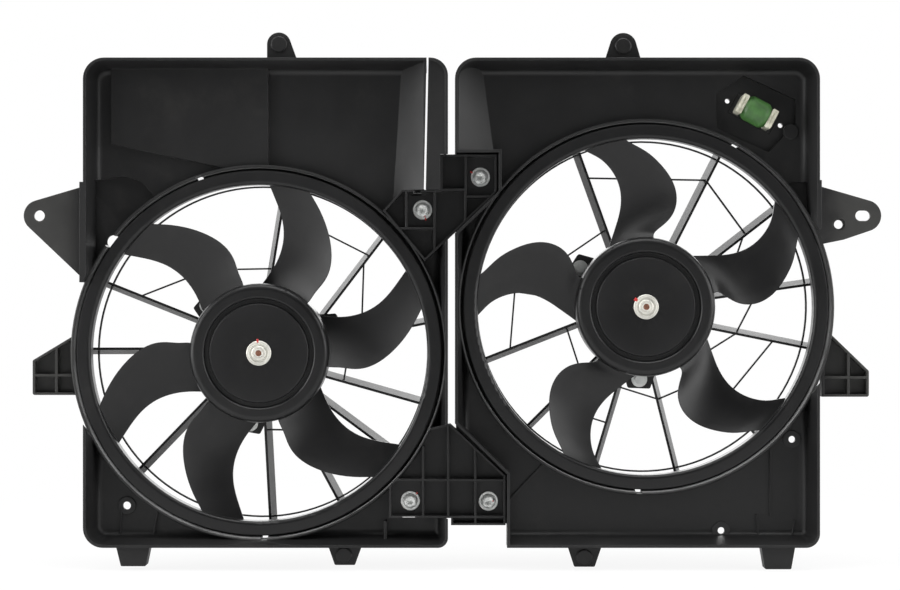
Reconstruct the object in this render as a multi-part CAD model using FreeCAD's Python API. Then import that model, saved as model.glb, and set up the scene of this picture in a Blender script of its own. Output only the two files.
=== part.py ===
import FreeCAD, Part
import math
import os
from FreeCAD import Vector

# Twin-fan radiator shroud: two moulded half shrouds screwed together by two ribbed arms, each
# with a banded fan on a flat electric motor held by struts, and a fan-speed resistor.
# Frame: +Z up, +X to the right seen from the radiator, -Y towards the radiator. X = 0 is the
# joint between the halves, Z = 0 the lowest foot, and depths are measured back from the rim.

# ------------------------------------------------------------------ overall (mm)
overall_depth = 114.0
panel_bottom = 20.1
fan_spacing = 349.2
left_fan_height = 194.2
right_fan_height = 235.9
above_right_fan = 223.4
panel_top = right_fan_height + above_right_fan
ear_reach = 386.2

# ------------------------------------------------------------------ half shroud trays
wall_t = 2.5
floor_t = 2.5
tray_depth = 28.0
wall_draft = 6.5
floor_round = 5.5
left_outer_x = -331.0
left_inner_x = -4.0
right_inner_x = 2.2
right_outer_x = 329.2
top_corner_r = 19.0
flap_corner_r = 16.0
left_joint_corner_r = 9.0
left_bottom_corner_r = 18.0
right_bottom_corner_r = 12.5
right_step_x = 49.0
pad_rise = 6.0
ear_pocket_drop = 5.0
crease_rib_t = 1.4
crease_rib_h = 2.0

# ------------------------------------------------------------------ ring, fan and hub
barrel_r = 167.5
barrel_t = 2.5
bead_front = 14.0
barrel_rear = 66.0
throat_r = 162.5
throat_front = 34.0
throat_slope = 3.0
notch_clearance = 0.5
sight_hole_r = 6.1
sight_hole_angle = 143.0
band_gap = 2.5
band_front = 15.0
band_depth = 14.0
band_inner_r = 152.0
band_t = 2.2
band_edge_r = 3.5
hub_r = 63.0
hub_front = 12.0
hub_depth = 34.0
hub_t = 2.5
hub_edge_r = 6.0
clip_seat = 1.25
groove_outer_r = 50.0
groove_inner_r = 44.6
groove_depth = 4.2
fan_boss_r = 11.5
hub_rib_count = 8
hub_rib_t = 1.6
blade_t = 2.2
blade_root_in = 1.6
blade_lead = 5.0
blade_camber = 0.35

# ------------------------------------------------------------------ motor support
strut_front = 56.0
strut_depth = 14.0
strut_t = 2.2
strut_lean = 4.4
guard_ring_r = 152.0
guard_t = 1.5
guard_depth = 3.0
guard_front = 59.0
collar_r = 60.4
collar_t = 2.4
seat_t = 4.0
seat_bore_r = 48.0
lobe_half_angle = 13.0
lobe_r = 76.0

# ------------------------------------------------------------------ motor
can_r = 46.0
can_t = 2.0
can_front = 24.0
can_rear = 96.0
can_edge_r = 4.0
ear_plate_t = 2.5
ear_plate_width = 17.0
end_cap_t = 6.0
bearing_r = 11.0
bearing_length = 9.0
front_boss_r = 13.5
front_boss_length = 5.0
rear_boss_r = 15.0
shaft_r = 4.0
shaft_front = 9.0
running_clearance = 0.05
magnet_t = 5.5
magnet_count = 4
magnet_front = 42.0
magnet_length = 34.0
air_gap = 0.8
slot_count = 12
core_front = 43.0
core_length = 32.0
winding_overhang = 7.0
commutator_r = 12.0
commutator_front = 84.0
commutator_length = 12.0
brush_plate_t = 2.5
brush_width = 6.0
socket_width = 26.0
socket_height = 15.0
socket_wall = 1.8

# ------------------------------------------------------------------ fasteners
motor_screw_circle_r = 67.0
motor_screw_r = 2.5
motor_washer_r = 7.2
motor_head_r = 4.6
washer_t = 1.4
motor_head_h = 4.0
join_screw_r = 3.0
join_washer_r = 8.8
join_head_r = 5.2
join_head_h = 4.6
screw_clearance = 0.4
nut_r = 6.5
nut_h = 5.0

# ------------------------------------------------------------------ joining arms
arm_front = 8.0
arm_plate_front = 20.0
arm_plate_t = 2.8
tongue_t = 2.5
arm_rib_t = 1.9
arm_clearance = 0.4

# ------------------------------------------------------------------ ears, tabs and feet
ear_hole_r = 4.9
ear_tip_r = 14.1
ear_front = 11.0
ear_t = 4.0
ear_hole_z = 318.0
ear_wall_out = 3.2
slot_r = 4.7
slot_length = 13.4
slot_x = 369.6
pilot_x = 347.9
pilot_z = 310.2
pilot_r = 4.0
pilot_counterbore_r = 5.6
pilot_counterbore_depth = 1.5
bracket_plate_front = 27.0
bracket_plate_t = 3.0
bracket_rib_front = 18.0
bracket_rib_t = 2.2
tab_front = 12.0
tab_t = 3.5
tab_disc_r = 7.3
tab_disc_h = 1.8
root_in = 6.2
foot_front = 8.0
foot_depth = 16.0
foot_wall = 2.5
boss_r = 8.0
boss_h = 1.5
hose_hole_r = 3.1
left_hole_r = 3.6

# ------------------------------------------------------------------ resistor
resistor_x = 274.7
resistor_z = panel_top - 47.0
resistor_tilt = -28.0
resistor_r = 12.0
resistor_length = 24.0
resistor_clip_w = 18.0
resistor_clip_t = 5.7
resistor_depth = 24.0
pocket_drop = 6.0

left_x = -fan_spacing / 2
right_x = fan_spacing / 2
back = Vector(0, 1, 0)


# ------------------------------------------------------------------ helpers
def y_at(depth):
    return depth - overall_depth / 2


def point(x, depth, z):
    return Vector(x, y_at(depth), z)


def polar(centre, radius, degrees):
    a = math.radians(degrees)
    return (centre[0] + radius * math.cos(a), centre[1] + radius * math.sin(a))


def rounded_wire(corners, place):
    """Closed wire through 2D corners (u, v) or (u, v, size): a positive size rounds the corner with
    that radius, a negative one chamfers it with that setback."""
    count = len(corners)
    ends = []
    for i in range(count):
        u, v = corners[i][0], corners[i][1]
        radius = corners[i][2] if len(corners[i]) > 2 else 0
        if not radius:
            ends.append((place(u, v), None, place(u, v)))
            continue
        before = corners[i - 1]
        after = corners[(i + 1) % count]
        a = Vector(before[0] - u, before[1] - v, 0).normalize()
        b = Vector(after[0] - u, after[1] - v, 0).normalize()
        if radius < 0:
            ends.append((place(u - a.x * radius, v - a.y * radius), None,
                         place(u - b.x * radius, v - b.y * radius)))
            continue
        half = a.getAngle(b) / 2
        reach = radius / math.tan(half)
        middle = (a + b).normalize() * (radius / math.sin(half) - radius)
        ends.append((place(u + a.x * reach, v + a.y * reach), place(u + middle.x, v + middle.y),
                     place(u + b.x * reach, v + b.y * reach)))
    edges = []
    for i in range(count):
        start, middle, end = ends[i]
        if middle:
            edges.append(Part.Arc(start, middle, end).toShape())
        elif start.distanceToPoint(end) > 1e-6:
            edges.append(Part.LineSegment(start, end).toShape())
        following = ends[(i + 1) % count][0]
        if end.distanceToPoint(following) > 1e-6:
            edges.append(Part.LineSegment(end, following).toShape())
    return Part.Wire(edges)


def inset(corners, amount):
    """Polygon moved inwards by amount; its corner radii follow."""
    count = len(corners)
    area = sum(corners[i - 1][0] * corners[i][1] - corners[i][0] * corners[i - 1][1] for i in range(count))
    turn = 1 if area > 0 else -1
    moved = []
    for i in range(count):
        u, v = corners[i][0], corners[i][1]
        before = corners[i - 1]
        after = corners[(i + 1) % count]
        a = Vector(u - before[0], v - before[1], 0).normalize()
        b = Vector(after[0] - u, after[1] - v, 0).normalize()
        na = Vector(-a.y * turn, a.x * turn, 0)
        nb = Vector(-b.y * turn, b.x * turn, 0)
        shift = (na + nb) * (amount / (1 + na.dot(nb)))
        radius = corners[i][2] if len(corners[i]) > 2 else 0
        if radius:
            convex = (a.x * b.y - a.y * b.x) * turn > 0
            radius = max(radius - amount, 0.5) if convex else radius + amount
        moved.append((u + shift.x, v + shift.y, radius))
    return moved


def plate(corners, front, rear):
    """Flat plate parallel to the rim between two depths, from corners (x, z[, radius])."""
    wire = rounded_wire(corners, lambda x, z: point(x, front, z))
    return Part.Face(wire).extrude(back * (rear - front))


def turned(centre, corners):
    """Solid turned about a fan axis from corners (radius, depth[, corner radius])."""
    wire = rounded_wire(corners, lambda r, d: point(centre[0] + r, d, centre[1]))
    return Part.Face(wire).revolve(point(centre[0], 0, centre[1]), back, 360)


def disc(centre, radius, front, rear):
    return Part.makeCylinder(radius, rear - front, point(centre[0], front, centre[1]), back)


def tube(centre, outer, inner, front, rear):
    return disc(centre, outer, front, rear).cut(disc(centre, inner, front, rear))


def bar(start, end, width, front, rear):
    """Rib of constant width between two points (x, z), square ended."""
    along = Vector(end[0] - start[0], 0, end[1] - start[1]).normalize()
    side = Vector(-along.z, 0, along.x) * (width / 2)
    corners = [(start[0] + side.x, start[1] + side.z), (end[0] + side.x, end[1] + side.z),
               (end[0] - side.x, end[1] - side.z), (start[0] - side.x, start[1] - side.z)]
    return plate(corners, front, rear)


def joined(pieces):
    solid = pieces[0].fuse(pieces[1:]) if len(pieces) > 1 else pieces[0]
    return solid.removeSplitter()


def sector(centre, radius, start, end, front, rear):
    """Pie slice about a centre, for cutting and trimming."""
    steps = max(2, int(abs(end - start) / 40) + 1)
    rim = [polar(centre, radius, start + (end - start) * i / steps) for i in range(steps + 1)]
    return plate([centre] + rim, front, rear)


def slab(corners, direction):
    """Flat-faced solid from 3D corners swept along a direction."""
    return Part.Face(Part.makePolygon(corners + [corners[0]])).extrude(direction)


# ------------------------------------------------------------------ half shroud
def tray(outline):
    """Open tray with drafted walls and a rounded floor, rim at depth 0, and its envelope and hollow."""
    def level(amount, depth):
        return rounded_wire(inset(outline, amount), lambda x, z: point(x, depth, z))

    def rounded_loft(rim_inset, depth, radius):
        body = Part.makeLoft([level(rim_inset, 0), level(rim_inset + wall_draft, depth)], True, True)
        far = y_at(depth) - 0.01
        edges = [e for e in body.Edges if min(v.Point.y for v in e.Vertexes) > far]
        return body.makeFillet(radius, edges)

    outside = rounded_loft(0, tray_depth + floor_t, floor_round + floor_t)
    inside = rounded_loft(wall_t, tray_depth, floor_round)
    return outside.cut(inside), outside, inside


def raised_pad(corners):
    """Floor area stepped towards the rim: what is added and what is hollowed behind it."""
    front = tray_depth - pad_rise
    added = plate(corners, front, tray_depth + floor_t / 2)
    hollow = plate(inset(corners, wall_t), front + floor_t, tray_depth + floor_t * 2)
    return added, hollow


def sunk_pocket(corners, drop):
    """Floor area stepped back from the rim: what is added and what is hollowed in front."""
    added = plate(inset(corners, -wall_t), tray_depth + floor_t / 2, tray_depth + drop + floor_t)
    hollow = plate(corners, tray_depth - floor_round, tray_depth + drop)
    return added, hollow


def ring(centre):
    """Barrel round a fan: a beaded mouth that steps in to a narrower throat behind the band."""
    outer = barrel_r + barrel_t
    edge = -barrel_t * 0.36
    return turned(centre, [(barrel_r, bead_front, edge), (outer, bead_front, edge),
                           (outer, throat_front), (throat_r + barrel_t, throat_front + throat_slope),
                           (throat_r + barrel_t, barrel_rear), (throat_r, barrel_rear),
                           (throat_r, throat_front), (barrel_r, throat_front - throat_slope)])


def strut_line(centre, inner_angle, outer_angle):
    """Start point, run and sideways direction of a vane."""
    start = polar(centre, collar_r - collar_t / 2, inner_angle)
    end = polar(centre, throat_r + barrel_t / 2, outer_angle)
    along = Vector(end[0] - start[0], 0, end[1] - start[1])
    return start, along, Vector(-along.z, 0, along.x).normalize()


def on_strut(layout, index, radius):
    """Point (x, z) on a vane at a radius from the fan axis, at the guard ribs' mid depth."""
    centre = layout["centre"]
    start, along, side = strut_line(centre, *layout["struts"][index])
    u, w = start[0] - centre[0], start[1] - centre[1]
    half_b = u * along.x + w * along.z
    square = along.x ** 2 + along.z ** 2
    share = (math.sqrt(half_b ** 2 - square * (u * u + w * w - radius ** 2)) - half_b) / square
    lean = strut_lean * (guard_front + guard_depth / 2 - strut_front) / strut_depth
    return (start[0] + along.x * share + side.x * lean, start[1] + along.z * share + side.z * lean)


def strut(centre, inner_angle, outer_angle):
    """Leaning vane from the motor collar to the barrel."""
    start, along, side = strut_line(centre, inner_angle, outer_angle)
    front = point(start[0], strut_front, start[1])
    rear = point(start[0], strut_front + strut_depth, start[1]) + side * strut_lean
    half = side * (strut_t / 2)
    return slab([front - half, front + half, rear + half, rear - half], along)


def motor_seat(centre, screw_angles):
    """Plate and collar that carry the motor, with a lobe for each motor screw."""
    seat = disc(centre, collar_r, strut_front, strut_front + seat_t)
    collar = tube(centre, collar_r, collar_r - collar_t, strut_front, strut_front + strut_depth)
    lobes = []
    for angle in screw_angles:
        corners = [polar(centre, collar_r - 3 * collar_t, angle - lobe_half_angle * 1.5),
                   polar(centre, lobe_r, angle - lobe_half_angle * 0.6) + (2.0,),
                   polar(centre, lobe_r, angle + lobe_half_angle * 0.6) + (2.0,),
                   polar(centre, collar_r - 3 * collar_t, angle + lobe_half_angle * 1.5)]
        lobes.append(plate(corners, strut_front, strut_front + seat_t))
    body = joined([seat, collar] + lobes)
    notches = [ear_strip(centre, angle, screw_clearance, strut_front + seat_t, strut_front + strut_depth)
               for angle in screw_angles]
    holes = [disc(polar(centre, motor_screw_circle_r, a), motor_screw_r + screw_clearance,
                  strut_front, strut_front + seat_t) for a in screw_angles]
    bore = disc(centre, seat_bore_r, strut_front, strut_front + seat_t)
    return body.cut([bore] + notches + holes)


def ear_strip(centre, angle, grow, front, rear):
    """Strip from the can out past a motor screw, as wide as the motor's ear plus grow each side."""
    start = polar(centre, can_r - can_t, angle)
    end = polar(centre, motor_screw_circle_r + ear_plate_width / 2 + grow, angle)
    return bar(start, end, ear_plate_width + 2 * grow, front, rear)


def motor_support(centre, layout):
    """Struts, guard ring, guard ribs and motor seat behind one fan."""
    struts = [strut(centre, inner, outer) for inner, outer in layout["struts"]]
    keep = tube(centre, throat_r + barrel_t / 2, collar_r - collar_t / 2, 0, overall_depth)
    ears = [ear_strip(centre, angle, screw_clearance, strut_front + seat_t, overall_depth)
            for angle in layout["screws"]]
    vanes = [vane.common(keep).cut(ears) for vane in struts]
    guard = tube(centre, guard_ring_r + guard_t / 2, guard_ring_r - guard_t / 2,
                 guard_front, guard_front + guard_depth)
    ribs = [bar(on_strut(layout, first, r0), on_strut(layout, second, r1), guard_t, guard_front,
                guard_front + guard_depth) for first, r0, second, r1 in layout["guard_ribs"]]
    return vanes + [guard, motor_seat(centre, layout["screws"])] + ribs


left_layout = {
    "name": "left",
    "centre": (left_x, left_fan_height),
    "struts": [(8, 10), (28, 44), (84, 82), (114, 132), (152, 156), (177, 179), (200, 200),
               (219, 223.5), (246.5, 249), (271.5, 272.5), (294.5, 297), (319.5, 322), (338, 342)],
    "guard_ribs": [(1, 125, 0, 92), (1, 132, 2, 131), (2, 77, 3, 93), (4, 125, 3, 92), (9, 72, 10, 81),
                   (12, 79, 0, 82)],
    "screws": [20, 140, 260],
    "blades": [21.6, 78.9, 136.3, 204.7, 256.6, 318.9],
    "notches": [(109, 2.6), (271.5, 2.6)],
}
right_layout = {
    "name": "right",
    "centre": (right_x, right_fan_height),
    "struts": [(6.5, 7.5), (31.5, 35.5), (61.5, 62.5), (116, 112), (170.5, 171), (193.5, 198.5),
               (228, 226), (252.5, 253), (277, 281.5), (313.5, 311.5), (341.5, 346)],
    "guard_ribs": [(3, 129, 2, 131), (2, 131, 1, 117), (1, 116, 0, 76), (0, 109, 10, 91), (10, 92, 9, 69),
                   (3, 78, 4, 114), (4, 118, 5, 128), (5, 72, 6, 83), (7, 77, 8, 87), (8, 87, 9, 90),
                   (9, 115, 10, 126), (7, 112, 6, 124)],
    "screws": [28, 148, 268],
    "blades": [29.5, 101.5, 173.5, 245.5, 317.5],
    "notches": [(60.8, 2.6), (268, 2.6)],
}

left_outline = [(left_outer_x, panel_top, top_corner_r), (left_inner_x, panel_top, flap_corner_r),
                (left_inner_x, panel_bottom, left_joint_corner_r),
                (left_outer_x, panel_bottom, left_bottom_corner_r)]
right_outline = [(right_inner_x, panel_top, top_corner_r), (right_outer_x, panel_top, top_corner_r),
                 (right_outer_x, panel_bottom, right_bottom_corner_r),
                 (right_inner_x, panel_bottom, left_joint_corner_r)]

# Arm outlines (x, z): ribbed bridges over the joint, one above and one below the ring contact.
upper_arm = [(-62.6, 322.4), (-45.5, 341.2), (-11.0, 341.2), (-11.0, 373.0), (40.0, 373.0), (40.0, 339.5),
             (34.5, 333.8), (-24.9, 277.0)]
lower_arm = [(-57.0, 118.0), (-2.2, 131.0), (47.8, 84.0), (47.8, 39.6), (-1.3, 39.6), (-1.3, 46.0),
             (-57.0, 46.0)]
join_points = [(-27.0, 323.6), (25.3, 353.2), (-38.1, 60.6), (32.5, 60.2)]


def ear_plate(centre, tip_r, upper, lower, front, thickness):
    """Plate that tapers from two root points to a round tip."""
    def tangent(root, other):
        dx, dz = root[0] - centre[0], root[1] - centre[1]
        bearing_angle = math.degrees(math.atan2(dz, dx))
        half = math.degrees(math.acos(min(1, tip_r / math.hypot(dx, dz))))
        choices = [polar(centre, tip_r, bearing_angle + side * half) for side in (-1, 1)]
        return max(choices, key=lambda c: math.hypot(c[0] - other[0], c[1] - other[1]))

    web = plate([upper, tangent(upper, lower), tangent(lower, upper), lower], front, front + thickness)
    return web.fuse(disc(centre, tip_r, front, front + thickness))


def disc_mark(centre, front):
    """Low round pip with a softened edge on the front of a tab."""
    return turned(centre, [(0, front - tab_disc_h), (tab_disc_r, front - tab_disc_h, 1.2),
                           (tab_disc_r, front + 1), (0, front + 1)])


def hollow_foot(corners):
    """Locating foot: a tapered peg, open at the rear."""
    block = plate(corners, foot_front, foot_front + foot_depth)
    core = plate(inset(corners, foot_wall), foot_front + foot_wall, foot_front + foot_depth)
    return block.cut(core)


def side_bracket(corners, post_x, shelf_z):
    """Flat bracket with an edge rib all round and one upright and one level rib."""
    base = plate(corners, bracket_plate_front, bracket_plate_front + bracket_plate_t)
    edge = plate(corners, bracket_rib_front, bracket_plate_front)
    edge = edge.cut(plate(inset(corners, bracket_rib_t), bracket_rib_front, bracket_plate_front))
    xs = [c[0] for c in corners]
    zs = [c[1] for c in corners]
    whole = plate(corners, bracket_rib_front, bracket_plate_front)
    post = bar((post_x, min(zs)), (post_x, max(zs)), bracket_rib_t, bracket_rib_front, bracket_plate_front)
    shelf = bar((min(xs), shelf_z), (max(xs), shelf_z), bracket_rib_t, bracket_rib_front, bracket_plate_front)
    return [base, edge, post.common(whole), shelf.common(whole)]


def ramp(floor_top, floor_low, rim_top, rim_low, z_top, z_low):
    """Sloping sheet from the tray floor up to the rim beside the joint."""
    skin = floor_t * 1.25

    def section(floor_x, rim_x, z):
        return Part.makePolygon([point(floor_x, tray_depth + floor_t / 2, z), point(rim_x, 1.0, z),
                                 point(rim_x, 1.0 + skin, z), point(floor_x, tray_depth + floor_t, z),
                                 point(floor_x, tray_depth + floor_t / 2, z)])
    return Part.makeLoft([section(floor_low, rim_low, z_low), section(floor_top, rim_top, z_top)], True, True)


def arm(corners, ribs, screws, own_centre, other_centre):
    """Ribbed arm: a sunk plate with edge and cross ribs that bridges the joint."""
    plate_rear = arm_plate_front + arm_plate_t
    floor_rear = tray_depth + floor_t
    base = plate(corners, arm_plate_front, plate_rear)
    edge = plate(corners, arm_front, plate_rear).cut(plate(inset(corners, arm_rib_t), arm_front, plate_rear))
    skirt = plate(corners, plate_rear, floor_rear)
    skirt = skirt.cut(plate(inset(corners, arm_rib_t), plate_rear, floor_rear))
    own_side = Part.makeBox(-2 * left_outer_x, overall_depth, panel_top,
                            point(left_inner_x + 2 * left_outer_x, 0, 0))
    whole = plate(corners, arm_front, plate_rear)
    cross = [bar(start, end, arm_rib_t, arm_front, arm_plate_front).common(whole) for start, end in ribs]
    body = joined([base, edge, skirt.common(own_side)] + cross)
    pads = [disc(c, join_washer_r + 0.8, arm_front, arm_plate_front) for c in screws]
    holes = [disc(c, join_screw_r + screw_clearance, arm_plate_front, plate_rear) for c in screws]
    away = disc(other_centre, barrel_r + barrel_t + arm_clearance, 0, overall_depth)
    return body.cut(pads + holes + [away])


def tongue(corners, screws, away_centre):
    """Rear tongue of the right shroud that lies behind an arm and takes the same screws."""
    front = arm_plate_front + arm_plate_t
    under = plate(inset(corners, arm_rib_t + arm_clearance), front, front + tongue_t)
    lowest = min(c[1] for c in corners)
    right_side = Part.makeBox(right_outer_x, overall_depth, panel_top, point(right_inner_x + 1, 0, lowest))
    wide = plate(inset(corners, -2.5), front, front + tongue_t).common(right_side)
    web = plate(inset(corners, -2.5), front, tray_depth + floor_t).common(right_side)
    web = web.cut(plate(corners, front, tray_depth + floor_t))
    holes = [disc(c, join_screw_r + screw_clearance, front, front + tongue_t) for c in screws]
    away = disc(away_centre, barrel_r + barrel_t + arm_clearance, 0, overall_depth)
    return under.fuse([wide, web]).cut(holes + [away])


def boss(centre):
    return disc(centre, boss_r, tray_depth - boss_h, tray_depth + floor_t)


def ring_notches(layout):
    """Small openings through the step between the barrel's mouth and its throat."""
    cuts = []
    for angle, half in layout["notches"]:
        start = polar(layout["centre"], throat_r + barrel_t + notch_clearance, angle)
        end = polar(layout["centre"], barrel_r + barrel_t * 0.55, angle)
        cuts.append(bar(start, end, 2 * half, 0, overall_depth))
    return cuts


def left_shroud():
    layout = left_layout
    centre = layout["centre"]
    ring_top = left_fan_height + barrel_r
    body, envelope, hollow = tray(left_outline)
    pad_add, pad_cut = raised_pad([(-309.4, panel_top - 5), (-309.4, 383.6), (-206.4, ring_top),
                                   (-167.0, ring_top), (-167.0, panel_top - 5)])
    ear_pocket = [(left_outer_x - 1, 262), (left_outer_x - 1, 349), (-300, 355, 12), (-283, 350, 8),
                  (-262, 326), (-262, 262)]
    pocket_add, pocket_cut = sunk_pocket(ear_pocket, ear_pocket_drop)
    body = body.fuse([pad_add, pocket_add]).cut([pad_cut, pocket_cut])

    # flap beside the joint: the floor climbs to the rim, then a slit leaves a free strip
    behind_flap = plate([(-42, panel_top - 11), (left_inner_x - wall_t, panel_top - 11),
                         (left_inner_x - wall_t, 343), (-42, 343)], tray_depth - floor_round,
                        tray_depth + floor_t)
    body = body.cut(behind_flap)
    flap = plate([(-26, panel_top - 3), (left_inner_x - 1, panel_top - 3), (left_inner_x - 1, 340),
                  (-26, 340)], 1.0, 1.0 + floor_t)
    climb = ramp(-47.0, -55.0, -24.0, -26.0, panel_top - 4, 334.0)
    body = body.fuse([flap.common(envelope), climb.common(envelope)])
    slit = bar((-22.2, panel_top + 5), (-24.8, 341.0), 1.7, 0, tray_depth + floor_t)
    body = body.cut(slit)

    # joining arms
    for corners in (upper_arm, lower_arm):
        body = body.cut(plate(corners, 0, tray_depth + floor_t))
    upper_ribs = [((11.8, 310), (11.8, 373)), ((-11, 341.3), (11.8, 341.3)), ((12.7, 335), (36, 335)),
                  ((-41.6, 307.5), (-41.6, 341)), ((-50, 306.5), (-16, 306.5)), ((-16, 284), (-16, 341))]
    lower_ribs = [((-26.4, 46), (-26.4, 110)), ((-3.8, 46), (-3.8, 131)), ((20.6, 39.6), (20.6, 112)),
                  ((-57, 80.1), (47.8, 80.1)), ((-1.3, 47), (47.8, 47))]
    body = body.fuse([arm(upper_arm, upper_ribs, join_points[:2], centre, right_layout["centre"]),
                      arm(lower_arm, lower_ribs, join_points[2:], centre, right_layout["centre"])])
    window = plate([(-37.5, 336.5), (-28.4, 336.5, 1), (-28.4, 341.2), (-34.0, 341.2)], 0, tray_depth)
    crescent = bar((-45.4, 45.8), (-33.6, 45.8), 2.6, 0, overall_depth)

    # ear, side bracket, tabs and foot
    ear_wall = plate([(left_outer_x - ear_wall_out, 258), (left_outer_x - ear_wall_out, 348),
                      (left_outer_x + wall_t, 348), (left_outer_x + wall_t, 258)], 0, tray_depth)
    ear_centre = (-(ear_reach - ear_tip_r), ear_hole_z)
    ear = ear_plate(ear_centre, ear_tip_r, (left_outer_x - 1, 344.6), (left_outer_x - 1, 260.5),
                    ear_front, ear_t)
    bracket = side_bracket([(-379.5, 156.2, 2), (-379.5, 187.5, 2), (-343.8, 209), (-335, 209),
                            (-335, 156.2)], -358.0, 174.0)
    top_tab = ear_plate((-156.4, panel_top + 13.2), 10.7, (-167.1, panel_top - root_in),
                        (-138.0, panel_top - root_in),
                        tab_front, tab_t)
    low_tab = plate([(-114, panel_bottom + root_in), (-79.5, panel_bottom + root_in), (-87.8, 3.3, 1.5),
                     (-106, 3.3, 1.5)], tab_front, tab_front + tab_t)
    foot = hollow_foot([(-304, panel_bottom + root_in), (-271, panel_bottom + root_in), (-275.9, 2.7, 1.2),
                        (-298.2, 2.7, 1.2)])
    creases = [bar((-302, panel_bottom + 6), (-300, 54), crease_rib_t, tray_depth - crease_rib_h, tray_depth),
               bar((-272, panel_bottom + 6), (-267, 54), crease_rib_t, tray_depth - crease_rib_h, tray_depth)]
    capsule = plate([(-62, 24.5, 1.2), (-62, 42.5, 1.2), (-59.2, 42.5, 1.2), (-59.2, 24.5, 1.2)],
                    tray_depth - 12, tray_depth)
    body = body.fuse([ear_wall, ear, top_tab.cut(hollow), disc_mark((-156.4, panel_top + 13.2), tab_front),
                      low_tab.cut(hollow), disc_mark((-97.8, 12.0), tab_front), foot.cut(hollow), capsule,
                      boss((-295.6, 55.4))] + bracket + creases)

    body = body.cut(disc(centre, barrel_r + barrel_t / 2, 0, overall_depth))
    body = body.fuse([ring(centre)] + motor_support(centre, layout))
    sight_hole = disc(polar(centre, barrel_r, sight_hole_angle), sight_hole_r, 0, overall_depth)
    holes = [disc(ear_centre, ear_hole_r, ear_front, ear_front + ear_t),
             disc((-295.6, 55.4), left_hole_r, tray_depth - boss_h, tray_depth + floor_t)]
    body = body.cut([window, crescent, sight_hole] + holes + ring_notches(layout))
    return body.removeSplitter()


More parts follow.
